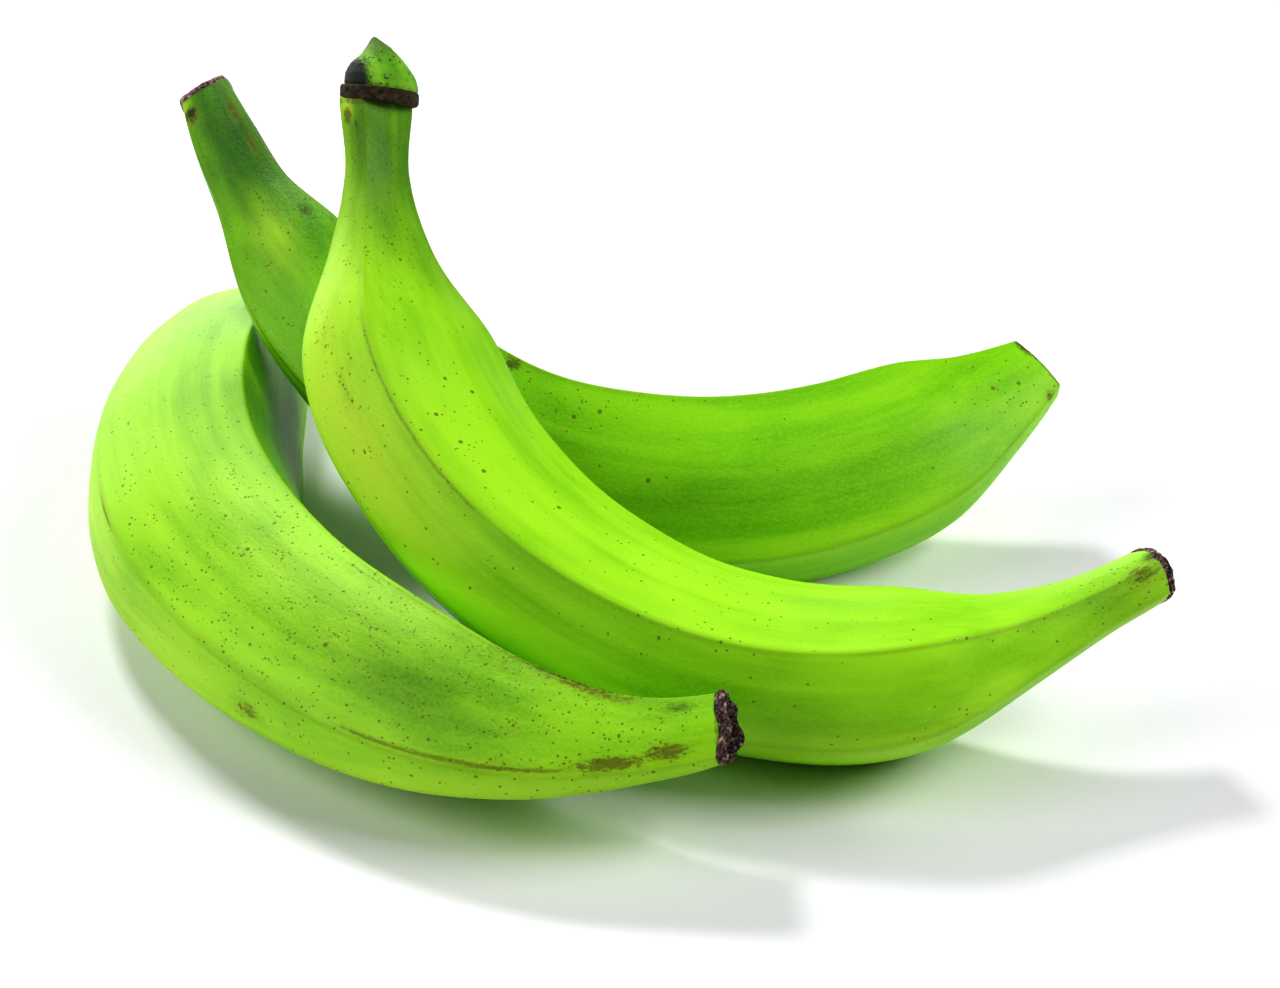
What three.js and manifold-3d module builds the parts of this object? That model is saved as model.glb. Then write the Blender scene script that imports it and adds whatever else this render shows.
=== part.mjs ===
// Three loose green plantains heaped as a bunch: one lies in front, one leans on it from
// behind, and one lies across the middle of that one with its stem standing up.
// Millimetres, +Z up. The origin is under the middle of the heap, on the surface it rests on.

import * as THREE from "three";
import { mergeVertices } from "three/addons/utils/BufferGeometryUtils.js";
import Module from "manifold-3d";

// Where along a fruit its radii are given, as shares of its length from stem to nose.
const STATIONS = [0, 0.06, 0.13, 0.22, 0.34, 0.5, 0.66, 0.78, 0.87, 0.94, 1];

// Cross-section: flat faces that meet in blunt lengthwise ridges.
const FACE_FLATNESS = 0.62;
const RIDGE_SHARPNESS = 40;
const RIDGE_HEIGHT = 1.05;

// Mesh fineness.
const RINGS = 38;
const STEPS_PER_RING = 5;
const POINTS_ROUND = 36;

// The ends. Each row is a ring: mm past the end, share of the end's radius, mm of sideways lean.
const CUT_END = [[0.2, 1.04, 0.2], [0.8, 0.95, 0.3], [0.4, 0.7, 0.3], [0.3, 0.2, 0.3]];
const SEALED_NOSE = [[0.3, 0.98], [0.5, 0.9], [0.3, 0.5], [0.2, 0.2]];
const DRY_NOSE = [[1.2, 1.05], [2.6, 0.95], [1.8, 0.79], [-0.7, 0.6], [-2.4, 0.3]];
const RAGGED_NOSE = [[0.3, 1.03], [1.3, 0.96], [1.6, 0.8], [1, 0.5], [0.7, 0.2]];
const CROWN_SCRAP = [
  [0.8, 1.08, -0.7], [2.4, 1.12, -0.9], [4.4, 1.12, -1.1], [5.2, 1.09, -1.4],
  [7.2, 1.04, -1.35], [9.5, 0.88, -1.25], [12.2, 0.57, -1.5], [14.5, 0.33, -1],
  [16, 0.14, -0.2],
];

// Depth of the block that cuts each underside flat where the fruit bears on the surface.
const FLOOR_BLOCK = { width: 500, depth: 20 };

// One entry a fruit. bend: degrees turned per length at five even places along it.
// sway: degrees out of the plane of the bend, as a lean and as a bow.
// ridges: degrees round the section at mid-length, from the hollow side; drift: their
// change along the length. middle and turn (yaw, pitch, roll in degrees) place it.
// stemSlant and noseSlant tip the ends' rings: mm along the fruit per mm of the world's
// X, Y and Z.
const FRUITS = [
  {
    name: "plantain_front",
    colour: 0x7fc22e,
    length: 310,
    bend: [99, 40, 155, 81, 277],
    sway: [-2, 23],
    radii: [7, 9, 16.5, 21.8, 27, 28, 25, 21.6, 15.8, 10.4, 8],
    ridges: [71, 154, 189, 319],
    drift: [19, 63, 30, 5],
    middle: [-89.2, -28.2, 19.5],
    turn: [-69.6, -5.6, -0.9],
    stemEnd: CUT_END,
    stemSlant: [0, 0.3, 0],
    noseEnd: DRY_NOSE,
    noseSlant: [0, 0.22, 0.15],
  },
  {
    name: "plantain_back",
    colour: 0x6db31f,
    length: 269,
    bend: [49, 72, 155, 140, 92],
    sway: [-21, 0],
    radii: [7.6, 9.5, 11.5, 18, 21.5, 22.5, 23.5, 22.5, 20.5, 13.9, 8.8],
    ridges: [42, 150, 206, 309],
    drift: [-23, -7, 4, 2],
    middle: [-18.9, -1, 28.3],
    turn: [-19.7, 15.1, 40.9],
    stemEnd: CUT_END,
    stemSlant: [0, 0.3, 0],
    noseEnd: SEALED_NOSE,
    noseSlant: [0, 0, 0],
  },
  {
    name: "plantain_middle",
    colour: 0x86c934,
    length: 269.5,
    bend: [-11, 165, 118, 182, 32],
    sway: [-6, -16],
    radii: [8.3, 7.4, 12, 22, 23.5, 23, 22, 20.5, 12.4, 8.2, 7.1],
    ridges: [92, 148, 221, 279, 339],
    drift: [-18, -13, 10, -1, 6],
    middle: [-4, -66.4, 30.1],
    turn: [-28.4, 20.9, 42.8],
    stemEnd: CROWN_SCRAP,
    stemSlant: [-0.14, 0.2, 0],
    noseEnd: RAGGED_NOSE,
    noseSlant: [0, 0, 0.12],
  },
];

const wasm = await Module();
wasm.setup();

/** Smooth curve through values given at stations, with the slope of its neighbours at each. */
function smooth(stations, values, share) {
  const last = stations.length - 1;
  let i = 0;
  while (i < last - 1 && share >= stations[i + 1]) i += 1;
  const slope = (k) => {
    const before = Math.max(k - 1, 0);
    const after = Math.min(k + 1, last);
    return (values[after] - values[before]) / (stations[after] - stations[before]);
  };
  const span = stations[i + 1] - stations[i];
  const t = (share - stations[i]) / span;
  const startWeight = 2 * t ** 3 - 3 * t ** 2 + 1;
  const startSlope = (t ** 3 - 2 * t ** 2 + t) * span * slope(i);
  const endSlope = (t ** 3 - t ** 2) * span * slope(i + 1);
  return startWeight * values[i] + (1 - startWeight) * values[i + 1] + startSlope + endSlope;
}

/** Straight-line value between even knots. */
function between(knots, share) {
  const place = share * (knots.length - 1);
  const i = Math.min(Math.floor(place), knots.length - 2);
  return THREE.MathUtils.lerp(knots[i], knots[i + 1], place - i);
}

/** The fruit's axis: a direction and a point at each step, with the middle step at the origin. */
function traceAxis(fruit) {
  const steps = RINGS * STEPS_PER_RING;
  const bends = Array.from({ length: steps + 1 }, (_, i) => between(fruit.bend, i / steps));
  const headings = [0];
  for (let i = 1; i <= steps; i += 1) {
    headings.push(headings[i - 1] + (bends[i - 1] + bends[i]) / (2 * steps));
  }
  const directions = headings.map((heading, i) => {
    const fromMiddle = i / steps - 0.5;
    const rise = fruit.sway[0] * fromMiddle + fruit.sway[1] * (4 * fromMiddle ** 2 - 1 / 3);
    const around = THREE.MathUtils.degToRad(heading - headings[steps / 2]);
    const up = THREE.MathUtils.degToRad(rise);
    return new THREE.Vector3(
      Math.cos(around) * Math.cos(up),
      Math.sin(around) * Math.cos(up),
      Math.sin(up),
    );
  });
  const points = [new THREE.Vector3()];
  for (let i = 1; i <= steps; i += 1) {
    const step = directions[i - 1].clone().add(directions[i]);
    points.push(points[i - 1].clone().addScaledVector(step, fruit.length / (2 * steps)));
  }
  const middle = points[steps / 2].clone();
  points.forEach((point) => point.sub(middle));
  return { points, directions };
}

/** Angles of the ridges at a place along the fruit, in radians. */
function ridgeAngles(fruit, share) {
  return fruit.ridges.map((ridge, i) => (
    THREE.MathUtils.degToRad(ridge + fruit.drift[i] * (share - 0.5))
  ));
}

/** Half the angle and the middle of each face between two neighbouring ridges. */
function facesBetween(ridges) {
  return ridges.map((ridge, i) => {
    const next = ridges[(i + 1) % ridges.length] + (i + 1 === ridges.length ? 2 * Math.PI : 0);
    return { half: (next - ridge) / 2, middle: (next + ridge) / 2 };
  });
}

/** Radius of the section at an angle, as a share of the fruit's radius there. */
function sectionShare(faces, angle) {
  let sum = 0;
  for (const face of faces) {
    const reach = Math.max(0, Math.cos(angle - face.middle)) / Math.cos(face.half);
    sum += reach ** RIDGE_SHARPNESS;
  }
  return RIDGE_HEIGHT * sum ** (-FACE_FLATNESS / RIDGE_SHARPNESS);
}

/** One ring of points round the axis, evenly spaced from ridge to ridge. */
function ringOfPoints(fruit, share, centre, direction, radius) {
  const across = new THREE.Vector3(0, 0, 1).addScaledVector(direction, -direction.z).normalize();
  const inward = new THREE.Vector3().crossVectors(across, direction);
  const faces = facesBetween(ridgeAngles(fruit, share));
  const perFace = Math.round(POINTS_ROUND / faces.length);
  const ring = [];
  for (const face of faces) {
    for (let k = 0; k < perFace; k += 1) {
      const angle = face.middle + face.half * (2 * k / perFace - 1);
      const reach = radius * sectionShare(faces, angle);
      ring.push(centre.clone()
        .addScaledVector(inward, reach * Math.cos(angle))
        .addScaledVector(across, reach * Math.sin(angle)));
    }
  }
  return ring;
}

/** The rings that close one end. A crown leans to the side the world's -X points to, and
 * the rings tip by the end's slant. */
function endRings(fruit, axis, atNose) {
  const rows = atNose ? fruit.noseEnd : fruit.stemEnd;
  const place = atNose ? axis.points.length - 1 : 0;
  const share = atNose ? 1 : 0;
  const direction = axis.directions[place];
  const outward = atNose ? 1 : -1;
  const toFruit = placing(fruit).invert();
  const lean = new THREE.Vector3(-1, 0, 0).applyQuaternion(toFruit);
  const tilt = atNose ? fruit.noseSlant : fruit.stemSlant;
  const slant = new THREE.Vector3(...tilt).applyQuaternion(toFruit);
  return rows.map(([past, size, aside = 0]) => {
    const centre = axis.points[place].clone()
      .addScaledVector(direction, outward * past)
      .addScaledVector(lean, aside);
    const ring = ringOfPoints(fruit, share, centre, direction, size * fruit.radii.at(-share));
    ring.forEach((point) => {
      const extra = point.clone().sub(centre).dot(slant);
      point.addScaledVector(direction, outward * extra);
    });
    return { centre, ring };
  });
}

/** The turn that sets a fruit in the heap: roll, then pitch, then yaw. */
function placing(fruit) {
  const [yaw, pitch, roll] = fruit.turn.map(THREE.MathUtils.degToRad);
  return new THREE.Quaternion().setFromEuler(new THREE.Euler(roll, pitch, yaw, "ZYX"));
}

/** A closed skin through a stack of rings, with a point at each end. */
function skin(rings, firstPole, lastPole) {
  const round = rings[0].length;
  const points = [...rings.flat(), firstPole, lastPole];
  const first = points.length - 2;
  const last = points.length - 1;
  const top = (rings.length - 1) * round;
  const index = [];
  for (let k = 0; k < round; k += 1) {
    const next = (k + 1) % round;
    index.push(first, next, k, last, top + k, top + next);
    for (let row = 0; row < top; row += round) {
      index.push(row + k, row + next, row + round + next);
      index.push(row + k, row + round + next, row + round + k);
    }
  }
  return new THREE.BufferGeometry().setFromPoints(points).setIndex(index);
}

/** One whole fruit about its own middle, from the stem's end to the nose's. */
function fruitGeometry(fruit) {
  const axis = traceAxis(fruit);
  const body = Array.from({ length: RINGS + 1 }, (_, i) => {
    const share = i / RINGS;
    const step = i * STEPS_PER_RING;
    const radius = smooth(STATIONS, fruit.radii, share);
    return ringOfPoints(fruit, share, axis.points[step], axis.directions[step], radius);
  });
  const stem = endRings(fruit, axis, false);
  const nose = endRings(fruit, axis, true);
  const rings = [...stem.map((end) => end.ring).reverse(), ...body, ...nose.map((end) => end.ring)];
  return skin(rings, stem.at(-1).centre, nose.at(-1).centre);
}

/** A manifold solid from a closed three.js geometry. */
function toSolid(geometry) {
  const bare = geometry.clone();
  bare.deleteAttribute("normal");
  bare.deleteAttribute("uv");
  const merged = mergeVertices(bare);
  return new wasm.Manifold(new wasm.Mesh({
    numProp: 3,
    vertProperties: Float32Array.from(merged.attributes.position.array),
    triVerts: Uint32Array.from(merged.index.array),
  }));
}

/** A three.js geometry from a manifold solid. */
function toGeometry(solid) {
  const mesh = solid.getMesh();
  const geometry = new THREE.BufferGeometry();
  geometry.setAttribute("position", new THREE.BufferAttribute(mesh.vertProperties, 3));
  geometry.setIndex(new THREE.BufferAttribute(mesh.triVerts, 1));
  geometry.computeVertexNormals();
  return geometry;
}

/** Cuts away what would sink below the surface, which leaves a small flat spot to rest on. */
function restOnSurface(mesh) {
  const { width, depth } = FLOOR_BLOCK;
  mesh.updateMatrix();
  const block = new THREE.BoxGeometry(width, width, depth);
  block.translate(0, 0, -depth / 2);
  block.applyMatrix4(mesh.matrix.clone().invert());
  mesh.geometry = toGeometry(toSolid(mesh.geometry).subtract(toSolid(block)));
}

/** One fruit as a named mesh, set where it lies. */
function makeFruit(fruit) {
  const material = new THREE.MeshStandardMaterial({
    color: fruit.colour,
    roughness: 0.45,
    metalness: 0,
  });
  const mesh = new THREE.Mesh(fruitGeometry(fruit), material);
  mesh.name = fruit.name;
  mesh.position.set(...fruit.middle);
  mesh.quaternion.copy(placing(fruit));
  restOnSurface(mesh);
  return mesh;
}

const group = new THREE.Group();
FRUITS.forEach((fruit) => group.add(makeFruit(fruit)));

export default group;
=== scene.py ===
"""Three loose green plantains heaped as a bunch, each a fine skin over its CAD fruit."""

import math

import bpy
import numpy as np
from mathutils import Euler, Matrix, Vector


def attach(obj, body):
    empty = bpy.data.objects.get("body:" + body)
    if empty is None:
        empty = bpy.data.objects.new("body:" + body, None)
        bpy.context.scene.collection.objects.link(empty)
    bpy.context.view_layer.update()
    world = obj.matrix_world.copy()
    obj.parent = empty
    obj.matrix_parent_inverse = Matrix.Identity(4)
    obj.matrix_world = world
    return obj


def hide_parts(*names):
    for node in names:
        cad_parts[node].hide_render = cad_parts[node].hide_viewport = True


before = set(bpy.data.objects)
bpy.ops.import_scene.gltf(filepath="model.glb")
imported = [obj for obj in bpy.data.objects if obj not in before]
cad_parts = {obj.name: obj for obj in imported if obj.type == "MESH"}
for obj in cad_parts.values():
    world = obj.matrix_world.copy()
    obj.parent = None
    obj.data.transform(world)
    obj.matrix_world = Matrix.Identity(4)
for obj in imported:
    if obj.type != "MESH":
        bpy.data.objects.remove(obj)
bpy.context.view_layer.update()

MM = 0.001
SEED = 7

# ---------------------------------------------------------------- the fruits' form
# Where along a fruit its radii are given, as shares of its length from stem to nose.
STATIONS = np.array([0, 0.06, 0.13, 0.22, 0.34, 0.5, 0.66, 0.78, 0.87, 0.94, 1])

# Cross-section: flat faces that meet in blunt lengthwise ridges.
FACE_FLATNESS = 0.62
RIDGE_SHARPNESS = 40
RIDGE_HEIGHT = 1.05
SKIN_SHARPNESS = 90

# Fineness of a skin.
RINGS = 400
POINTS_ROUND = 180

# bend: degrees turned per length at five even places along the fruit. sway: degrees out of
# the plane of the bend, as a lean and as a bow. radii and middle in mm. ridges: degrees
# round the section at mid-length, from the hollow side; drift: their change along the
# length. turn: yaw, pitch and roll in degrees.
FRONT = {
    "name": "plantain_front",
    "length": 310,
    "bend": [99, 40, 155, 81, 277],
    "sway": [-2, 23],
    "radii": [7, 9, 16.5, 21.8, 27, 28, 25, 21.6, 15.8, 10.4, 8],
    "ridges": [71, 154, 189, 319],
    "drift": [19, 63, 30, 5],
    "middle": [-89.2, -28.2, 19.5],
    "turn": [-69.6, -5.6, -0.9],
}
BACK = {
    "name": "plantain_back",
    "length": 269,
    "bend": [49, 72, 155, 140, 92],
    "sway": [-21, 0],
    "radii": [7.6, 9.5, 11.5, 18, 21.5, 22.5, 23.5, 22.5, 20.5, 13.9, 8.8],
    "ridges": [42, 150, 206, 309],
    "drift": [-23, -7, 4, 2],
    "middle": [-18.9, -1, 28.3],
    "turn": [-19.7, 15.1, 40.9],
}
MIDDLE = {
    "name": "plantain_middle",
    "length": 269.5,
    "bend": [-11, 165, 118, 182, 32],
    "sway": [-6, -16],
    "radii": [8.3, 7.4, 12, 22, 23.5, 23, 22, 20.5, 12.4, 8.2, 7.1],
    "ridges": [92, 148, 221, 279, 339],
    "drift": [-18, -13, 10, -1, 6],
    "middle": [-4, -66.4, 30.1],
    "turn": [-28.4, 20.9, 42.8],
}


def smooth(values, share):
    """Cubic through the values at STATIONS, with the slope of its neighbours at each."""
    values = np.asarray(values, float)
    slope = np.empty_like(values)
    slope[1:-1] = (values[2:] - values[:-2]) / (STATIONS[2:] - STATIONS[:-2])
    slope[0] = (values[1] - values[0]) / (STATIONS[1] - STATIONS[0])
    slope[-1] = (values[-1] - values[-2]) / (STATIONS[-1] - STATIONS[-2])
    i = np.clip(np.searchsorted(STATIONS, share, side="right") - 1, 0, len(STATIONS) - 2)
    span = STATIONS[i + 1] - STATIONS[i]
    t = (share - STATIONS[i]) / span
    start = 2 * t**3 - 3 * t**2 + 1
    bent = (t**3 - 2 * t**2 + t) * span * slope[i] + (t**3 - t**2) * span * slope[i + 1]
    return start * values[i] + (1 - start) * values[i + 1] + bent


def running_sum(rates):
    """Sum of the rates by trapezoids, with the middle of the run at zero."""
    steps = (rates[1:] + rates[:-1]) / 2
    total = np.concatenate([np.zeros((1,) + rates.shape[1:]), np.cumsum(steps, axis=0)])
    return total - total[len(total) // 2]


def axis_of(fruit):
    """Points, directions and cross directions along the axis, in mm in the fruit's own frame.
    The heading is the running sum of the bend, the rise is a lean plus a bow, and the point
    is the running sum of the direction they give."""
    share = np.linspace(0, 1, RINGS + 1)
    bend = np.interp(share, np.linspace(0, 1, len(fruit["bend"])), fruit["bend"])
    heading = np.radians(running_sum(bend) / RINGS)
    lean, bow = fruit["sway"]
    rise = np.radians(lean * (share - 0.5) + bow * (4 * (share - 0.5) ** 2 - 1 / 3))
    level = np.cos(rise)
    direction = np.stack([np.cos(heading) * level, np.sin(heading) * level, np.sin(rise)], -1)
    point = running_sum(direction) * fruit["length"] / RINGS
    across = np.array([0, 0, 1.0]) - direction * direction[:, 2:]
    across /= np.linalg.norm(across, axis=1, keepdims=True)
    inward = np.cross(across, direction)
    return share, point, direction, inward, across


def faces_of(fruit, share):
    """Middle and half angle of each face between ridges, in radians, one row a ring."""
    ridges = np.radians(np.array(fruit["ridges"]) + np.outer(share - 0.5, fruit["drift"]))
    following = np.roll(ridges, -1, axis=1)
    following[:, -1] += 2 * np.pi
    return (ridges + following) / 2, (following - ridges) / 2


def round_angles(middle, half):
    """Angles round a ring, closer together near the ridges, and each point's place across its
    face from -1 to 1."""
    each = POINTS_ROUND // middle.shape[1]
    even = 2 * np.arange(each) / each - 1
    place = np.tile(1.25 * even - 0.25 * even**3, middle.shape[1])
    angle = np.repeat(middle, each, axis=1) + np.repeat(half, each, axis=1) * place
    return angle, place


def section(angle, middle, half, sharpness=RIDGE_SHARPNESS):
    """Radius at an angle as a share of the mean: a soft maximum over the faces of the cosine
    from each face's middle, which is 1 at a ridge and dips between ridges."""
    reach = np.cos(angle[:, :, None] - middle[:, None, :]) / np.cos(half)[:, None, :]
    total = (np.maximum(reach, 0) ** sharpness).sum(-1)
    return RIDGE_HEIGHT * total ** (-FACE_FLATNESS / sharpness)


def ripple(along, angle, seed, count, longest, waves):
    """Sum of count sine waves over a tube, each with a whole number of turns round it."""
    draw = np.random.default_rng(seed)
    total = np.zeros(angle.shape)
    for _ in range(count):
        turns = draw.integers(0, waves + 1)
        pitch = 2 * np.pi / (longest * draw.uniform(0.35, 1))
        phase, start = draw.uniform(0, 2 * np.pi, 2)
        total += np.sin(turns * angle + phase) * np.sin(pitch * along + start)
    return total / math.sqrt(count)


def turn_of(fruit):
    """The matrix that turns a fruit from its own frame to the heap's."""
    yaw, pitch, roll = np.radians(fruit["turn"])
    return np.array(Euler((roll, pitch, yaw), "XYZ").to_matrix())


def placed(fruit, points):
    """Points in mm in the fruit's own frame, as metres in the heap's frame."""
    return (points @ turn_of(fruit).T + np.array(fruit["middle"])) * MM


def surface(name, rings, ends, body="root"):
    """Closed mesh through rows of ring points (rows, round, 3) with a pole at each end."""
    rows, round_count = rings.shape[:2]
    k = np.arange(round_count)
    following = (k + 1) % round_count
    start = (np.arange(rows - 1) * round_count)[:, None]
    quads = np.stack([start + k, start + following, start + round_count + following,
                      start + round_count + k], -1).reshape(-1, 4)
    first = rows * round_count
    top = (rows - 1) * round_count
    caps = np.concatenate([
        np.stack([np.full(round_count, first), following, k], -1),
        np.stack([np.full(round_count, first + 1), top + k, top + following], -1),
    ])
    points = np.concatenate([rings.reshape(-1, 3), np.asarray(ends)])
    mesh = bpy.data.meshes.new(name)
    mesh.from_pydata(points.tolist(), [], quads.tolist() + caps.tolist())
    mesh.polygons.foreach_set("use_smooth", np.ones(len(mesh.polygons), bool))
    mesh.update()
    piece = bpy.data.objects.new(name, mesh)
    bpy.context.scene.collection.objects.link(piece)
    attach(piece, body)
    return piece


def store(piece, name, values, kind="FLOAT"):
    """Keeps one value a point on the mesh, for its material to read."""
    field = "vector" if kind == "FLOAT_VECTOR" else "value"
    layer = piece.data.attributes.new(name, kind, "POINT")
    layer.data.foreach_set(field, np.ascontiguousarray(values, np.float32).ravel())


def with_ends(grid):
    """The values of a grid, with the first and last ring's mean for the two poles."""
    flat = grid.reshape(-1, *grid.shape[2:])
    return np.concatenate([flat, grid[:1].mean(1), grid[-1:].mean(1)])


# ---------------------------------------------------------------- skins
# Low swells and finer lengthwise ribs, in mm, fainter where the fruit is slimmer than FULL_SIZE.
RELIEF = 0.22
RIB_RELIEF = 0.05
FULL_SIZE = 20

# Rows that close a skin's end, and how many mm from the end its rings start to tip.
END_ROWS = 14
SLANT_REACH = 9

# Marks of each fruit's peel: share of the length, degrees round from the hollow side, half
# length and half width in mm, and strength.
BROWN = {
    "plantain_front": [
        (0.86, 174, 16, 1.3, 0.6), (0.93, 172, 12, 2.4, 0.9), (0.965, 166, 8, 3.2, 0.9),
        (0.685, 183, 6, 3, 0.8), (0.955, 110, 9, 2.5, 0.5), (0.80, 150, 30, 7, 0.35),
        (0.74, 82, 30, 4, 0.5), (0.83, 86, 22, 5, 0.6), (0.91, 82, 22, 2.6, 0.8),
    ],
    "plantain_back": [
        (0.46, 47, 4, 2.5, 0.9), (0.045, 64, 8, 2.0, 0.8), (0.09, 62, 10, 1.5, 0.8),
        (0.985, 146, 3, 2.5, 0.8), (0.03, 140, 5, 3.6, 0.8), (0.06, 100, 12, 6, 0.35),
    ],
    "plantain_middle": [
        (0.205, 128, 8, 4, 0.5), (0.268, 122, 9, 4, 0.55), (0.24, 112, 8, 3, 0.4),
        (0.79, 139, 16, 3.5, 0.5), (0.012, 137, 3, 2.2, 1.0), (0.98, 84, 5, 4, 0.8),
        (0.965, 110, 12, 2, 0.5), (0.32, 70, 14, 2.5, 0.35), (0.90, 92, 22, 1.6, 0.5),
    ],
}
DARK = {
    "plantain_front": [
        (0.70, 80, 16, 0.6, 0.5), (0.88, 79, 20, 0.6, 0.7), (0.975, 95, 5, 2, 0.6),
    ],
    "plantain_back": [
        (0.192, 61, 4, 2.2, 0.6), (1.0, 50, 1.6, 5, 0.8), (0.0235, 143, 2.4, 2.2, 1.0),
        (0.075, 64, 8, 0.7, 0.5), (0.46, 49, 2, 1.5, 0.5),
    ],
    "plantain_middle": [
        (1.0, 60, 4, 3, 0.8), (0.985, 95, 6, 0.9, 0.6), (0.02, 118, 1.6, 0.8, 0.6),
    ],
}
# Paler yellow-green patches. The back fruit's first patch is a painted highlight on a lit bump,
# and the front fruit's first two, on its outer side, are painted pale sheen; the rest are paler
# peel.
PALE_AND_HIGHLIGHT = {
    "plantain_front": [
        (0.47, 190, 60, 14, 0.7), (0.80, 205, 50, 8, 0.5), (0.6, 120, 60, 16, 0.25),
    ],
    "plantain_back": [
        (0.20, 102, 12, 6, 0.5), (0.013, 172, 3.5, 3.5, 0.9), (0.7, 150, 60, 5, 0.4),
    ],
    "plantain_middle": [
        (0.30, 128, 42, 13, 0.9), (0.47, 130, 30, 9, 0.5), (0.004, 134, 3, 2.6, 1.0),
        (0.97, 100, 10, 3, 0.5), (0.75, 150, 60, 6, 0.4),
    ],
}
# Deeper green patches. The front fruit's first, long patch on its hollow side is painted shade,
# for the shade that face lies in under the other two fruits; the rest darken the stem necks and a
# few patches of peel.
DEEP_AND_SHADE = {
    "plantain_front": [
        (0.36, 5, 70, 22, 1.0), (0.80, 130, 34, 11, 0.6), (0.87, 110, 26, 9, 0.3),
        (0.72, 100, 40, 6, 0.4),
    ],
    "plantain_back": [
        (0.07, 90, 60, 70, 1.0), (0.62, 112, 50, 12, 0.4), (0.5, 100, 40, 12, 0.4),
    ],
    "plantain_middle": [
        (0.03, 60, 30, 60, 0.85), (0.97, 125, 18, 12, 0.5), (0.6, 130, 60, 10, 0.35),
    ],
}
SPECKLED = {
    "plantain_front": [
        (0.74, 120, 70, 26, 1.0), (0.92, 140, 24, 18, 1.0), (0.58, 88, 40, 9, 0.9),
        (0.60, 130, 60, 20, 0.6), (0.42, 80, 60, 8, 0.4),
    ],
    "plantain_back": [
        (0.10, 70, 34, 20, 1.0), (0.16, 130, 30, 12, 0.6), (0.52, 60, 30, 12, 0.4),
        (0.95, 130, 12, 14, 0.6),
    ],
    "plantain_middle": [
        (0.97, 100, 14, 14, 0.9), (0.10, 70, 26, 14, 0.7), (0.3, 70, 50, 16, 0.3),
        (0.62, 60, 40, 16, 0.25), (0.25, 120, 30, 10, 0.4),
    ],
}
# Fine lines that run beside a ridge: which ridge, mm round from it, half width in mm, share
# of the length where the line starts and ends, and strength.
LINES = {
    "plantain_front": [
        (1, -1.0, 0.6, 0.74, 0.93, 0.9), (1, -1.0, 0.8, 0.60, 0.76, 0.4),
        (1, -2.6, 1.8, 0.70, 0.90, 0.4), (0, 1.0, 0.5, 0.66, 0.97, 0.6),
        (1, 0.6, 0.6, 0.455, 0.53, 1.0),
    ],
    "plantain_back": [
        (1, 0.8, 0.5, 0.14, 0.36, 1.0), (0, 0.4, 0.35, 0.40, 0.62, 0.6),
        (1, 0.5, 0.4, 0.60, 0.95, 0.35),
    ],
    "plantain_middle": [
        (0, 0.9, 0.5, 0.20, 0.44, 0.75), (0, 0.9, 0.5, 0.42, 0.72, 0.55),
        (0, 2.2, 1.2, 0.30, 0.56, 0.3),
        (0, 0.6, 0.4, 0.72, 0.93, 0.5), (1, 0.5, 0.5, 0.16, 0.40, 0.3),
    ],
}
# Single dots: share of the length and degrees round.
DOTS = {
    "plantain_front": [(0.61, 110), (0.72, 130)],
    "plantain_back": [(0.538, 63), (0.56, 55), (0.615, 100), (0.967, 101), (0.942, 86)],
    "plantain_middle": [(0.317, 79), (0.30, 37), (0.282, 57), (0.35, 75), (0.385, 75), (0.45, 48)],
}


def painted(marks, along, degrees, radius, length):
    """Strength of the strongest mark at each point: exp(-(a/A)^2 - (b/B)^2), where a and b are
    the mm along and round from the mark's middle and A and B its half length and width."""
    total = np.zeros(np.broadcast(along, degrees).shape)
    for share, turn, half_length, half_width, strength in marks:
        off = (along - share * length) / half_length
        aside = (degrees - turn + 180) % 360 - 180
        aside = np.radians(aside) * radius / half_width
        total = np.maximum(total, strength * np.exp(-off**2 - aside**2))
    return total


def drawn_lines(lines, share, degrees, ridges, radius):
    """Strength of the strongest line at each point: exp(-(b/B)^2), where b is the mm round
    from the line and B its half width, faded in and out over a thirtieth of the length."""
    total = np.zeros(degrees.shape)
    for ridge, aside, half_width, start, end, strength in lines:
        off = (degrees - np.degrees(ridges[:, ridge:ridge + 1]) + 180) % 360 - 180
        off = (np.radians(off) * radius - aside) / half_width
        within = np.clip((share - start) * 30, 0, 1) * np.clip((end - share) * 30, 0, 1)
        total = np.maximum(total, strength * within[:, None] * np.exp(-off**2))
    return total


def end_rows(profile, count):
    """Even rows along an end's profile of (mm past the end, share of the end's radius)."""
    profile = np.array([(0, 1)] + profile, float)
    run = np.concatenate([[0], np.cumsum(np.hypot(*np.diff(profile * [1, 9], axis=0).T))])
    at = np.linspace(0, run[-1], count + 1)[1:]
    return np.stack([np.interp(at, run, profile[:, 0]), np.interp(at, run, profile[:, 1])], -1)


def tipped(fruit, grid, point, direction, along, stem_slant, nose_slant):
    """The rings with those near each end tipped: a point moves out along the fruit by its
    distance from the axis along the slant, times the square of a ramp that is 0 at SLANT_REACH
    from the end and 1 at the end."""
    for end, outward, slant in ((0, -1, stem_slant), (fruit["length"], 1, nose_slant)):
        near = np.clip(1 - np.abs(along - end) / SLANT_REACH, 0, 1) ** 2
        tip = np.linalg.solve(turn_of(fruit), slant)
        moved = outward * near * ((grid - point[:, None]) @ tip)
        grid = grid + moved[..., None] * direction[:, None]
    return grid


def closing(grid, point, direction, i, outward, profile):
    """Rings that close ring i: each is that ring made smaller and moved past the end by its
    row of the profile."""
    rows = end_rows(profile, END_ROWS)
    spokes = grid[i] - point[i]
    return point[i] + outward * rows[:, :1, None] * direction[i] + rows[:, 1:, None] * spokes


def stretched(values):
    """Values on the rings, with the end rings' values repeated for the rows that close them."""
    return np.concatenate([np.repeat(values[:1], END_ROWS, 0), values,
                           np.repeat(values[-1:], END_ROWS, 0)])


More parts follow.
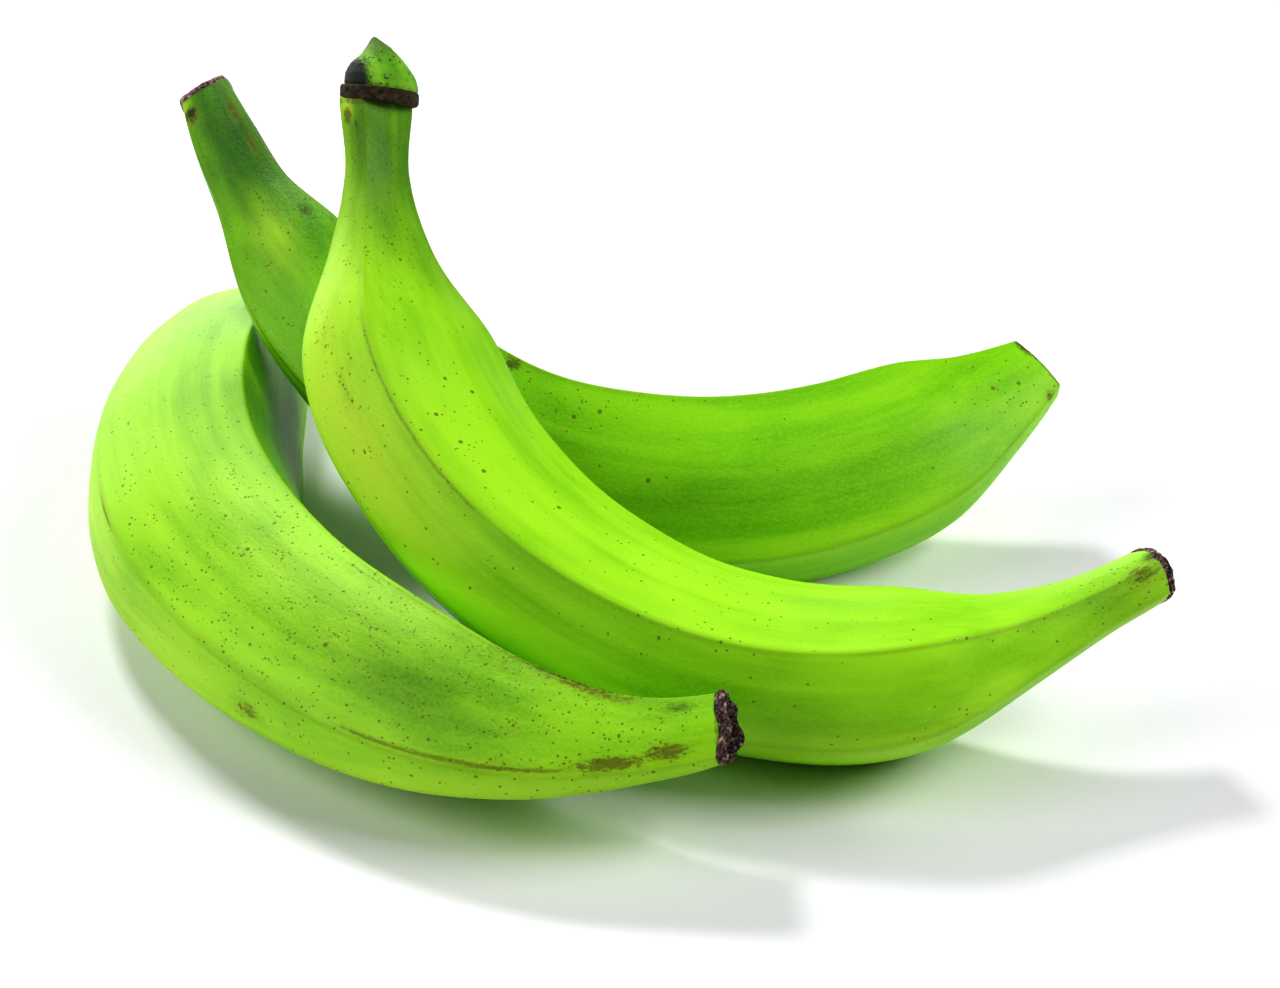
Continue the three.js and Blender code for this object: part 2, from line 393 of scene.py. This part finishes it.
def store_marks(skin, fruit, share, along, angle, radius, ridges):
    """Keeps the strength of each kind of mark on the skin."""
    degrees = np.degrees(angle)
    for label, marks in (("brown", BROWN), ("dark", DARK), ("pale", PALE_AND_HIGHLIGHT), ("deep", DEEP_AND_SHADE),
                         ("speckled", SPECKLED)):
        field = painted(marks[fruit["name"]], along, degrees, radius, fruit["length"])
        store(skin, label, with_ends(stretched(field)))
    field = drawn_lines(LINES[fruit["name"]], share, degrees, ridges, radius)
    store(skin, "line", with_ends(stretched(field)))


def make_skin(fruit, stem_profile, nose_profile, stem_slant, nose_slant):
    """A fruit's skin: its section swept along its axis, with low swells and lengthwise ribs,
    closed at each end by rows that follow the end's profile. Over the last few mm the rings
    tip by the end's slant: mm along the fruit per mm of world X, Y and Z."""
    share, point, direction, inward, across = axis_of(fruit)
    middle, half = faces_of(fruit, share)
    angle, place = round_angles(middle, half)
    radius = smooth(fruit["radii"], share)[:, None]
    reach = radius * section(angle, middle, half, SKIN_SHARPNESS)
    along = (share * fruit["length"])[:, None] + np.zeros_like(angle)
    slim = np.minimum(radius / FULL_SIZE, 1)
    reach += RELIEF * ripple(along, angle, SEED, 14, 90, 5) * slim
    reach += RIB_RELIEF * ripple(along, angle, SEED + 1, 16, 400, 30) * slim
    grid = point[:, None] + reach[:, :, None] * (
        np.cos(angle)[:, :, None] * inward[:, None] + np.sin(angle)[:, :, None] * across[:, None])
    grid = tipped(fruit, grid, point, direction, along, stem_slant, nose_slant)
    stem = closing(grid, point, direction, 0, -1, stem_profile)[::-1]
    nose = closing(grid, point, direction, -1, 1, nose_profile)
    whole = placed(fruit, np.concatenate([stem, grid, nose]))
    whole[..., 2] = np.maximum(whole[..., 2], 0)
    ends = placed(fruit, np.stack([stem[0].mean(0), nose[-1].mean(0)]))
    skin = surface(fruit["name"] + "_skin", whole, ends)

    straight = np.stack([along, reach * np.cos(angle), reach * np.sin(angle)], -1) * MM
    straight = stretched(straight)
    straight[:END_ROWS, :, 0] -= end_rows(stem_profile, END_ROWS)[::-1, :1] * MM
    straight[-END_ROWS:, :, 0] += end_rows(nose_profile, END_ROWS)[:, :1] * MM
    crest = (1 - np.abs(place)) * half.repeat(POINTS_ROUND // half.shape[1], 1) * radius
    to_end = np.minimum(along, fruit["length"] - along)
    store(skin, "straight", with_ends(straight), "FLOAT_VECTOR")
    store(skin, "to_end", with_ends(stretched(to_end * MM)))
    store(skin, "crest", with_ends(stretched(crest * MM)))
    store_marks(skin, fruit, share, along, angle, radius, middle - half)
    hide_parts(fruit["name"])
    return skin


# ---------------------------------------------------------------- dry ends and crown
PIECE_ROWS = 70
PIECE_ROUND = 180

# The section's shares run about this mean. RIM is the share of a profile that stays smooth
# before the crumpling sets in.
ROUND_SHARE = 0.95
RIM = 0.35


def profile_rows(rows, radius):
    """Even rows along a profile: how far along it each is from 0 to 1, the run in mm, mm past
    the end, share of the end's radius and mm of sideways lean."""
    profile = np.array([tuple(row) + (0,) * (3 - len(row)) for row in rows], float)
    spacing = np.diff(profile * [1, radius, 1], axis=0)
    run = np.concatenate([[0], np.cumsum(np.linalg.norm(spacing, axis=1))])
    at = np.linspace(0, run[-1], PIECE_ROWS)
    past, size, aside = (np.interp(at, run, column)[:, None] for column in profile.T)
    return (at / run[-1])[:, None], at[:, None], past, size, aside


def make_end(fruit, at_nose, name, rows, uneven, rough, ridged=1.0,
             slant=(0, 0, 0)):
    """A piece swept over a fruit's end. Each row is (mm past the end, share of the end's
    radius, mm of sideways lean). Uneven is how many mm its edges wander along the fruit, rough
    how many mm its surface crumples beyond the rim, ridged how much of the fruit's ridges it
    keeps, and slant how far it tips as mm along the fruit per mm of world X, Y and Z."""
    share, point, direction, inward, across = axis_of(fruit)
    middle, half = faces_of(fruit, share)
    i = -1 if at_nose else 0
    out = direction[i] if at_nose else -direction[i]
    radius = fruit["radii"][i]
    gone, at, past, size, aside = profile_rows(rows, radius)
    turns = np.linspace(0, 2 * np.pi, PIECE_ROUND, endpoint=False)
    angle = np.tile(turns, (PIECE_ROWS, 1))
    ridge = section(angle, middle[i][None], half[i][None]) - ROUND_SHARE
    reach = radius * size * (ROUND_SHARE + ridged * ridge)
    seed = SEED + sum(map(ord, name))
    loose = np.clip(gone / RIM, 0, 1) ** 2
    wander = ripple(0 * at, angle, seed, 7, 40, 5)
    crumple = ripple(at, angle, seed + 1, 40, 5, 26)
    folds = ripple(at, angle, seed + 2, 24, 1.6, 60)
    past = past + uneven * wander * np.minimum(size, 1)
    past = past + rough * 0.6 * crumple * loose * np.minimum(size * 3, 1)
    bulge = 0.7 * np.abs(crumple) + 0.4 * np.abs(folds)
    reach = np.maximum(reach + rough * bulge * loose * size, 0.02)
    turned = turn_of(fruit)
    lean = np.linalg.solve(turned, [-1, 0, 0])
    tip = np.linalg.solve(turned, slant)
    spokes = reach[:, :, None] * (
        np.cos(angle)[:, :, None] * inward[i] + np.sin(angle)[:, :, None] * across[i])
    beyond = past + spokes @ tip
    grid = point[i] + beyond[:, :, None] * out + aside[:, :, None] * lean + spokes
    order = slice(None) if at_nose else slice(None, None, -1)
    grid = grid[order]
    ends = placed(fruit, np.stack([grid[0].mean(0), grid[-1].mean(0)]))
    piece = surface(name, np.maximum(placed(fruit, grid), [-1, -1, 0]), ends)
    straight = np.stack([past + 0 * angle, reach * np.cos(angle), reach * np.sin(angle)], -1) * MM
    # Painted shade: this share grows towards the middle of the end, and the dry finish darkens the
    # hollow by it and the folds by the crumple height.
    hollow_shade = np.clip(1.25 - size, 0, 1) + 0 * angle
    store(piece, "straight", with_ends(straight[order]), "FLOAT_VECTOR")
    store(piece, "height", with_ends((crumple + folds)[order]))
    store(piece, "hollow_shade", with_ends(hollow_shade[order]))
    store(piece, "past", with_ends((past + 0 * angle)[order]))
    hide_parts(fruit["name"])
    return piece


# ---------------------------------------------------------------- materials
def node(tree, kind, inputs, **settings):
    """A new node, its settings made and its inputs set by name or place, where a value may be
    another node's socket. Returns its first output that is in use."""
    made = tree.nodes.new("ShaderNode" + kind)
    for name, value in settings.items():
        setattr(made, name, value)
    for name, value in inputs.items():
        if isinstance(value, bpy.types.NodeSocket):
            tree.links.new(value, made.inputs[name])
        else:
            made.inputs[name].default_value = value
    return next(socket for socket in made.outputs if socket.enabled)


def read(tree, name, vector=False):
    """A point attribute of the mesh."""
    made = tree.nodes.new("ShaderNodeAttribute")
    made.attribute_name = name
    return made.outputs["Vector" if vector else "Fac"]


def blend(tree, factor, low, high):
    """A colour between two, by a factor."""
    return node(tree, "Mix", {0: factor, 6: low, 7: high}, data_type="RGBA")


def rise(tree, value, low, high, top=1.0):
    """0 below low, top above high, and a smooth step between."""
    return node(tree, "MapRange", {"Value": value, 1: low, 2: high, 3: 0.0, 4: top},
                interpolation_type="SMOOTHSTEP")


def sums(tree, operation, first, second):
    """A sum, product or other operation on two values."""
    return node(tree, "Math", {0: first, 1: second}, operation=operation)


def scaled(tree, value, by):
    """A value times another."""
    return sums(tree, "MULTIPLY", value, by)


def plus(tree, first, second):
    """The sum of two values."""
    return sums(tree, "ADD", first, second)


def most(tree, first, *others):
    """The largest of some values."""
    for other in others:
        first = sums(tree, "MAXIMUM", first, other)
    return first


def noise(tree, place, stretch, scale, detail=3.0, roughness=0.55):
    """Fractal noise about 0.5 with its pattern drawn out by a stretch on each axis."""
    drawn = node(tree, "VectorMath", {0: place, 1: stretch}, operation="MULTIPLY")
    return node(tree, "TexNoise", {"Vector": drawn, "Scale": scale, "Detail": detail,
                                   "Roughness": roughness})


def specks(tree, place, cell, radius, chance):
    """Round dots of a radius in a grid of random cells, both in metres. A cell has its dot
    when its own random value is under the chance."""
    cells = tree.nodes.new("ShaderNodeTexVoronoi")
    tree.links.new(place, cells.inputs["Vector"])
    cells.inputs["Scale"].default_value = 1 / cell
    size = radius / cell
    spot = rise(tree, cells.outputs["Distance"], size, size * 0.45)
    channels = node(tree, "SeparateColor", {0: cells.outputs["Color"]})
    there = sums(tree, "LESS_THAN", channels, chance)
    return scaled(tree, spot, there)


def new_material(name):
    """An empty material with its shader, its tree and its place on the straightened fruit."""
    finish = bpy.data.materials.new(name)
    finish.use_nodes = True
    tree = finish.node_tree
    shader = tree.nodes["Principled BSDF"]
    shader.inputs["Specular IOR Level"].default_value = WAX_GLOSS
    return finish, tree, shader, read(tree, "straight", vector=True)


def relief(tree, shader, height, strength, depth):
    """Fine relief of a depth in metres, from a height of about 0 to 1."""
    bump = node(tree, "Bump", {"Height": height, "Strength": strength, "Distance": depth})
    tree.links.new(bump, shader.inputs["Normal"])


def broken(tree, field, edge, low, high):
    """A painted field with its edge broken up by noise."""
    rough = plus(tree, field, sums(tree, "SUBTRACT", scaled(tree, edge, 0.9), 0.45))
    return scaled(tree, rise(tree, rough, low, high), rise(tree, field, 0.02, 0.2))


def dot_at(tree, place, fruit, share, turn):
    """One round dot on the straightened fruit, at a share of its length and a turn round it."""
    middle, half = faces_of(fruit, np.array([share]))
    angle = np.radians([[turn]])
    reach = smooth(fruit["radii"], np.array([share]))[0] * section(angle, middle, half)[0, 0]
    spot = Vector((share * fruit["length"], reach * math.cos(angle[0, 0]),
                   reach * math.sin(angle[0, 0]))) * MM
    made = tree.nodes.new("ShaderNodeVectorMath")
    made.operation = "DISTANCE"
    tree.links.new(place, made.inputs[0])
    made.inputs[1].default_value = spot
    return rise(tree, made.outputs["Value"], 0.00075, 0.00035)


def green_ground(tree, tone, grain, bright, deep):
    """Peel without its marks: two greens by tone, deeper patches that are partly painted shade,
    paler patches that are partly painted highlight, a light grain and olive ridges."""
    colour = blend(tree, rise(tree, tone, 0.32, 0.60), deep, bright)
    # The deep field darkens the green and thins the grain; on the front fruit's hollow side this
    # is painted shade.
    shade = read(tree, "deep")
    colour = blend(tree, scaled(tree, shade, rise(tree, tone, 0.95, 0.35)), colour, DEEP_GREEN)
    # The pale field turns the green yellower; in places this is a painted highlight or sheen.
    pale = scaled(tree, read(tree, "pale"), rise(tree, tone, 0.25, 0.6))
    colour = blend(tree, pale, colour, YELLOW_GREEN)
    kept = sums(tree, "SUBTRACT", 1.0, scaled(tree, shade, 0.75))
    fine = scaled(tree, rise(tree, grain, 0.40, 0.66, 0.22), kept)
    colour = blend(tree, fine, colour, FINE_GREEN)
    return blend(tree, rise(tree, read(tree, "crest"), 0.0014, 0.0002, 0.22), colour, CREST_OLIVE)


def flecks_of(tree, place, fruit, edge):
    """Where a fruit's specks and dots are: three sizes of specks, gathered in clusters, and
    the dots that have a place of their own."""
    density = most(tree, read(tree, "speckled"), scaled(tree, read(tree, "brown"), 1.1))
    gathered = scaled(tree, density, rise(tree, edge, 0.42, 0.62))
    flecks = most(
        tree,
        specks(tree, place, 0.0011, 0.00038, plus(tree, gathered, 0.006)),
        specks(tree, place, 0.0021, 0.00052, plus(tree, scaled(tree, gathered, 0.5), 0.006)),
        specks(tree, place, 0.010, 0.00062, plus(tree, scaled(tree, density, 0.2), 0.03)))
    return most(tree, flecks, *(dot_at(tree, place, fruit, *dot) for dot in DOTS[fruit["name"]]))


def peel_finish(fruit, bright, deep):
    """Waxy green peel: lengthwise bands, soft clouds, a fine grain, paler patches that are partly
    painted highlight and deeper patches that are partly painted shade, brown scuffs and lines with
    broken edges, and small brown specks and dots."""
    finish, tree, shader, place = new_material(fruit["name"] + "_peel")
    bands = noise(tree, place, (0.035, 1, 1), 190, 4)
    clouds = noise(tree, place, (0.5, 1, 1), 42, 3)
    grain = noise(tree, place, (0.8, 1, 1), 1300, 2, 0.6)
    edge = noise(tree, place, (0.45, 1, 1), 520, 4, 0.65)
    flaky = noise(tree, place, (0.5, 1, 1), 1500, 3, 0.7)
    tone = plus(tree, scaled(tree, bands, 0.42), scaled(tree, clouds, 0.58))
    colour = green_ground(tree, tone, grain, bright, deep)
    scuff, line = read(tree, "brown"), read(tree, "line")
    core = broken(tree, scaled(tree, scuff, 0.85), flaky, 0.5, 0.72)
    stroke = broken(tree, line, flaky, 0.45, 0.85)
    dark = broken(tree, read(tree, "dark"), flaky, 0.2, 0.95)
    to_end = plus(tree, read(tree, "to_end"), scaled(tree, edge, 0.0022))
    flecks = flecks_of(tree, place, fruit, edge)
    for where, strength, paint in (
            (broken(tree, scuff, edge, 0.2, 0.9), 0.35, SCUFF_OLIVE), (core, 0.7, SCUFF_BROWN),
            (line, 0.45, SCUFF_OLIVE), (stroke, 0.5, SCUFF_BROWN), (dark, 0.9, SCAR_DARK),
            (rise(tree, to_end, 0.0016, 0.0008), 0.6, END_SHADE), (flecks, 0.75, SPECK_BROWN)):
        colour = blend(tree, scaled(tree, where, strength), colour, paint)
    tree.links.new(colour, shader.inputs["Base Color"])
    worn = most(tree, core, stroke, dark)
    wear = plus(tree, worn, scaled(tree, grain, 0.25))
    rough = node(tree, "MapRange", {"Value": wear, 1: 0.0, 2: 1.2, 3: PEEL_ROUGHNESS, 4: 0.7})
    tree.links.new(rough, shader.inputs["Roughness"])
    height = plus(tree, grain, scaled(tree, bands, 0.7))
    height = sums(tree, "SUBTRACT", height, scaled(tree, worn, 0.35))
    height = sums(tree, "SUBTRACT", height, scaled(tree, flecks, 0.3))
    relief(tree, shader, height, 0.7, 0.00016)
    return finish


def dry_finish(name, dark, middle, light, fineness):
    """Dry fibrous tissue: fibres that run out along the fruit, painted shade that darkens the
    folds and the hollow, lighter colour on the crests of the crumples, and a few pale strands."""
    finish, tree, shader, place = new_material(name)
    fibres = noise(tree, place, (0.22, 1, 1), fineness, 4, 0.65)
    patches = noise(tree, place, (1, 1, 1), 420, 3)
    # Painted shade and light: darker in the folds, lighter on the crests of the crumples, darker
    # towards the hollow.
    fold_shading = rise(tree, read(tree, "height"), -1.8, 1.8)
    tone = plus(tree, scaled(tree, fibres, 0.55), scaled(tree, fold_shading, 0.3))
    tone = plus(tree, tone, scaled(tree, patches, 0.3))
    tone = sums(tree, "SUBTRACT", tone, scaled(tree, read(tree, "hollow_shade"), 0.3))
    colour = blend(tree, rise(tree, tone, 0.38, 0.52), dark, middle)
    colour = blend(tree, rise(tree, tone, 0.53, 0.68), colour, light)
    tree.links.new(colour, shader.inputs["Base Color"])
    shader.inputs["Roughness"].default_value = DRY_ROUGHNESS
    relief(tree, shader, fibres, 0.9, 0.0003)
    return finish


def scrap_finish():
    """The green scrap of crown: waxy green with a blue-black corner, a grey bruise at the tip
    and dark specks, closer together on one side."""
    finish, tree, shader, place = new_material("crown_scrap_peel")
    clouds = noise(tree, place, (0.6, 1, 1), 170, 4)
    edge = noise(tree, place, (0.7, 1, 1), 700, 5, 0.7)
    grain = noise(tree, place, (1, 1, 1), 1700, 3)
    colour = blend(tree, rise(tree, clouds, 0.35, 0.65), *SCRAP_GREENS)
    colour = blend(tree, rise(tree, grain, 0.4, 0.65, 0.3), colour, SCRAP_GRAIN)
    past = plus(tree, read(tree, "past"), scaled(tree, edge, 5.0))
    colour = blend(tree, rise(tree, past, 13.0, 18.0, 0.75), colour, SCRAP_BRUISE)
    colour = blend(tree, rise(tree, past, 8.0, 6.4, 0.5), colour, SCRAP_FOOT)
    corner = node(tree, "VectorMath", {0: place, 1: SCRAP_CORNER}, operation="DISTANCE")
    near = plus(tree, corner, scaled(tree, edge, 0.007))
    colour = blend(tree, rise(tree, near, 0.0106, 0.0080, 0.97), colour, SCRAP_BLACK)
    flecks = most(tree, specks(tree, place, 0.0012, 0.00042, rise(tree, edge, 0.40, 0.62, 0.8)),
                  specks(tree, place, 0.0026, 0.0005, 0.3))
    colour = blend(tree, scaled(tree, flecks, 0.85), colour, SCRAP_SPECKS)
    tree.links.new(colour, shader.inputs["Base Color"])
    shader.inputs["Roughness"].default_value = SCRAP_ROUGHNESS
    relief(tree, shader, plus(tree, grain, scaled(tree, edge, 1.5)), 0.8, 0.00025)
    return finish


# ---------------------------------------------------------------- pieces
WAX_GLOSS = 0.3
PEEL_ROUGHNESS = 0.46
DRY_ROUGHNESS = 0.7
SCRAP_ROUGHNESS = 0.55

FINE_GREEN = (0.40, 0.78, 0.05, 1)
CREST_OLIVE = (0.22, 0.42, 0.004, 1)
# Colour of the deeper green patches, partly painted shade on the front fruit's hollow side.
DEEP_GREEN = (0.025, 0.13, 0.0, 1)
# Colour of the paler patches, partly painted highlight and sheen.
YELLOW_GREEN = (0.60, 0.84, 0.06, 1)
SCUFF_OLIVE = (0.20, 0.30, 0.006, 1)
SCUFF_BROWN = (0.12, 0.085, 0.008, 1)
SCAR_DARK = (0.020, 0.017, 0.006, 1)
END_SHADE = (0.09, 0.075, 0.02, 1)
SPECK_BROWN = (0.15, 0.10, 0.004, 1)

SCRAP_GREENS = ((0.13, 0.38, 0.008, 1), (0.28, 0.58, 0.03, 1))
SCRAP_GRAIN = (0.16, 0.36, 0.05, 1)
SCRAP_BRUISE = (0.07, 0.11, 0.05, 1)
SCRAP_FOOT = (0.06, 0.09, 0.02, 1)
SCRAP_BLACK = (0.003, 0.004, 0.009, 1)
SCRAP_SPECKS = (0.035, 0.018, 0.005, 1)
# Middle of the blue-black corner, in metres on the straightened fruit.
SCRAP_CORNER = (0.0064, -0.0069, 0.0062)

# Brighter and deeper green of each fruit's peel.
PEELS = {
    "plantain_front": ((0.38, 0.76, 0.025, 1), (0.22, 0.54, 0.006, 1)),
    "plantain_back": ((0.30, 0.70, 0.008, 1), (0.18, 0.53, 0.002, 1)),
    "plantain_middle": ((0.42, 0.84, 0.025, 1), (0.27, 0.65, 0.006, 1)),
}

# Profiles of the ends. Each row: mm past the fruit's end, share of the end's radius and, in
# some, mm of sideways lean. The first four close a skin, inside the piece that covers it.
UNDER_CUT = [(0.1, 0.9), (-0.5, 0.7), (-0.8, 0.4), (-0.8, 0.02)]
UNDER_HOLLOW = [(0.8, 0.97), (0.6, 0.85), (-2.0, 0.7), (-5.0, 0.5), (-5.8, 0.3), (-6.0, 0.02)]
UNDER_CRUST = [(0.2, 0.9), (-0.4, 0.6), (-0.8, 0.4), (-0.8, 0.02)]
UNDER_RING = [(1.4, 1.0), (1.5, 0.9), (1.2, 0.5), (1.2, 0.02)]
CUT_FACE = [(-1.3, 0.86, 0.2), (-0.9, 1.01, 0.2), (-0.2, 1.05, 0.2), (0.5, 1.03, 0.3),
            (0.8, 0.95, 0.3), (0.5, 0.84, 0.3), (0.3, 0.6, 0.3), (0.3, 0.3, 0.3), (0.3, 0.01, 0.3)]
NOSE_SCAR = [(-0.6, 0.95), (-0.2, 0.99), (0.2, 0.99), (0.4, 0.9), (0.3, 0.5), (0.2, 0.01)]
HOLLOW_CRUST = [(-0.6, 0.86), (0.2, 1.02), (1.0, 1.05), (2.2, 1.02), (2.6, 0.94), (1.5, 0.8),
                (-1.6, 0.6), (-3.6, 0.3), (-3.7, 0.01)]
RAGGED_CRUST = [(-1.8, 0.86), (-1.4, 0.99), (-0.4, 1.02), (0.7, 1.0), (1.2, 0.88), (1.2, 0.66),
                (1.0, 0.5), (0.7, 0.3), (0.7, 0.01)]
STEM_RING = [(0.7, 0.6, -0.4), (0.7, 1.0, -0.5), (0.7, 1.05, -0.6), (1.1, 1.12, -0.75),
             (1.6, 1.15, -0.85), (3.8, 1.15, -1.0), (4.3, 1.11, -1.1), (4.4, 0.7, -1.1),
             (4.2, 0.01, -1.1)]
SCRAP = [(2.8, 0.88, -1.2), (4.0, 1.05, -1.35), (5.0, 1.09, -1.4), (7.2, 1.04, -1.35),
         (9.5, 0.88, -1.25), (12.2, 0.57, -1.5), (14.5, 0.33, -1.0), (16.0, 0.14, -0.2),
         (16.6, 0.05, 0.0), (16.7, 0.01, 0.0)]

# How the ends tip: mm along the fruit per mm of world X, Y and Z.
CUT_SLANT = (0, 0.3, 0)
HOLLOW_SLANT = (0, 0.26, 0.06)
SCAR_SLANT = (0, 0, 0)
RAGGED_SLANT = (0, 0, 0.12)
CROWN_SLANT = (-0.14, 0.2, 0)

CRUSTS = dry_finish("crust", (0.008, 0.005, 0.006, 1), (0.10, 0.062, 0.056, 1),
                    (0.46, 0.33, 0.25, 1), 1100)
RINGS_BROWN = dry_finish("ring_fibre", (0.010, 0.007, 0.004, 1), (0.042, 0.028, 0.013, 1),
                         (0.085, 0.058, 0.024, 1), 3200)
CUT_BROWN = dry_finish("cut_face", (0.05, 0.035, 0.03, 1), (0.27, 0.175, 0.155, 1),
                       (0.56, 0.42, 0.38, 1), 1300)

for fruit, stem_end, nose_end, stem_slant, nose_slant in (
        (FRONT, UNDER_CUT, UNDER_HOLLOW, CUT_SLANT, HOLLOW_SLANT),
        (BACK, UNDER_CUT, UNDER_CUT, CUT_SLANT, SCAR_SLANT),
        (MIDDLE, UNDER_RING, UNDER_CRUST, CROWN_SLANT, RAGGED_SLANT)):
    skin = make_skin(fruit, stem_end, nose_end, stem_slant, nose_slant)
    skin.data.materials.append(peel_finish(fruit, *PEELS[fruit["name"]]))

for fruit, at_nose, name, rows, slant, uneven, rough, paint in (
        (FRONT, False, "front_stem_cut", CUT_FACE, CUT_SLANT, 0.3, 0.25, CUT_BROWN),
        (FRONT, True, "front_nose_crust", HOLLOW_CRUST, HOLLOW_SLANT, 0.7, 0.4, CRUSTS),
        (BACK, False, "back_stem_cut", CUT_FACE, CUT_SLANT, 0.3, 0.25, CUT_BROWN),
        (BACK, True, "back_nose_scar", NOSE_SCAR, SCAR_SLANT, 0.1, 0.05, CUT_BROWN),
        (MIDDLE, True, "middle_nose_crust", RAGGED_CRUST, RAGGED_SLANT, 0.5, 0.3, CRUSTS)):
    piece = make_end(fruit, at_nose, name, rows, uneven, rough, slant=slant)
    piece.data.materials.append(paint)
ring = make_end(MIDDLE, False, "middle_stem_ring", STEM_RING, 0.1, 0.1, ridged=0.35,
                slant=CROWN_SLANT)
ring.data.materials.append(RINGS_BROWN)
scrap = make_end(MIDDLE, False, "middle_crown_scrap", SCRAP, 0.0, 0.12, ridged=0.35,
                 slant=CROWN_SLANT)
scrap.data.materials.append(scrap_finish())

# ---------------------------------------------------------------- floor, light and camera
LOOK_AT = Vector((8.6, 29, 0)) * MM
CAMERA_RISE = math.radians(30.5)
CAMERA_DISTANCE = 0.764
LENS = 84.375

FLOOR_SIDE = 8.0
SHEET_WHITE = (0.88, 0.87, 0.91, 1)
SHEET_ROUGHNESS = 0.6

LAMP_DISTANCE = 1.6
# Each lamp: degrees it comes from, degrees of rise, width and height in metres, and watts.
KEY = ("key", 121, 51, 0.32, 0.22, 9.8)
LEFT_FILL = ("left_fill", 200, 36, 1.0, 1.0, 9.5)
RIGHT_FILL = ("right_fill", 349, 42, 0.8, 0.8, 13)
BACK_GLOW = ("back_glow", 116, 10, 1.9, 0.5, 9)
SKY_STRENGTH = 0.05


def make_floor():
    """A plain white sheet, flat and far wider than the view."""
    side = FLOOR_SIDE / 2
    mesh = bpy.data.meshes.new("floor")
    corners = [(-side, -side, 0), (side, -side, 0), (side, side, 0), (-side, side, 0)]
    mesh.from_pydata(corners, [], [(0, 1, 2, 3)])
    floor = bpy.data.objects.new("floor", mesh)
    bpy.context.scene.collection.objects.link(floor)
    paint = bpy.data.materials.new("white_sheet")
    paint.use_nodes = True
    sheet = paint.node_tree.nodes["Principled BSDF"].inputs
    sheet["Base Color"].default_value = SHEET_WHITE
    sheet["Roughness"].default_value = SHEET_ROUGHNESS
    mesh.materials.append(paint)


def aimed(location, target):
    """The turn that points an object's -Z from a location to a target."""
    return (target - location).to_track_quat("-Z", "Y").to_euler()


def make_lamp(name, comes_from, rise, width, height, power):
    """A soft oblong lamp that faces the heap."""
    comes_from, rise = math.radians(comes_from), math.radians(rise)
    lamp = bpy.data.lights.new(name, "AREA")
    lamp.shape = "RECTANGLE"
    lamp.size = width
    lamp.size_y = height
    lamp.energy = power
    stand = bpy.data.objects.new(name, lamp)
    stand.location = LAMP_DISTANCE * Vector((math.cos(comes_from) * math.cos(rise),
                                             math.sin(comes_from) * math.cos(rise),
                                             math.sin(rise)))
    stand.rotation_euler = aimed(stand.location, Vector((0, 0, 0)))
    bpy.context.scene.collection.objects.link(stand)


def make_sky():
    """A faint even white sky."""
    sky = bpy.data.worlds.new("sky")
    sky.use_nodes = True
    sky.node_tree.nodes["Background"].inputs["Color"].default_value = (1, 1, 1, 1)
    sky.node_tree.nodes["Background"].inputs["Strength"].default_value = SKY_STRENGTH
    bpy.context.scene.world = sky


def make_camera():
    """A long lens that looks down on the heap from its front."""
    lens = bpy.data.cameras.new("camera")
    lens.lens = LENS
    lens.clip_start = 0.05
    camera = bpy.data.objects.new("camera", lens)
    offset = Vector((0, -math.cos(CAMERA_RISE), math.sin(CAMERA_RISE))) * CAMERA_DISTANCE
    camera.location = LOOK_AT + offset
    camera.rotation_euler = aimed(camera.location, LOOK_AT)
    bpy.context.scene.collection.objects.link(camera)
    bpy.context.scene.camera = camera


make_floor()
for lamp in (KEY, LEFT_FILL, RIGHT_FILL, BACK_GLOW):
    make_lamp(*lamp)
make_sky()
make_camera()
bpy.context.scene.view_settings.view_transform = "Standard"
bpy.context.scene.view_settings.look = "High Contrast"
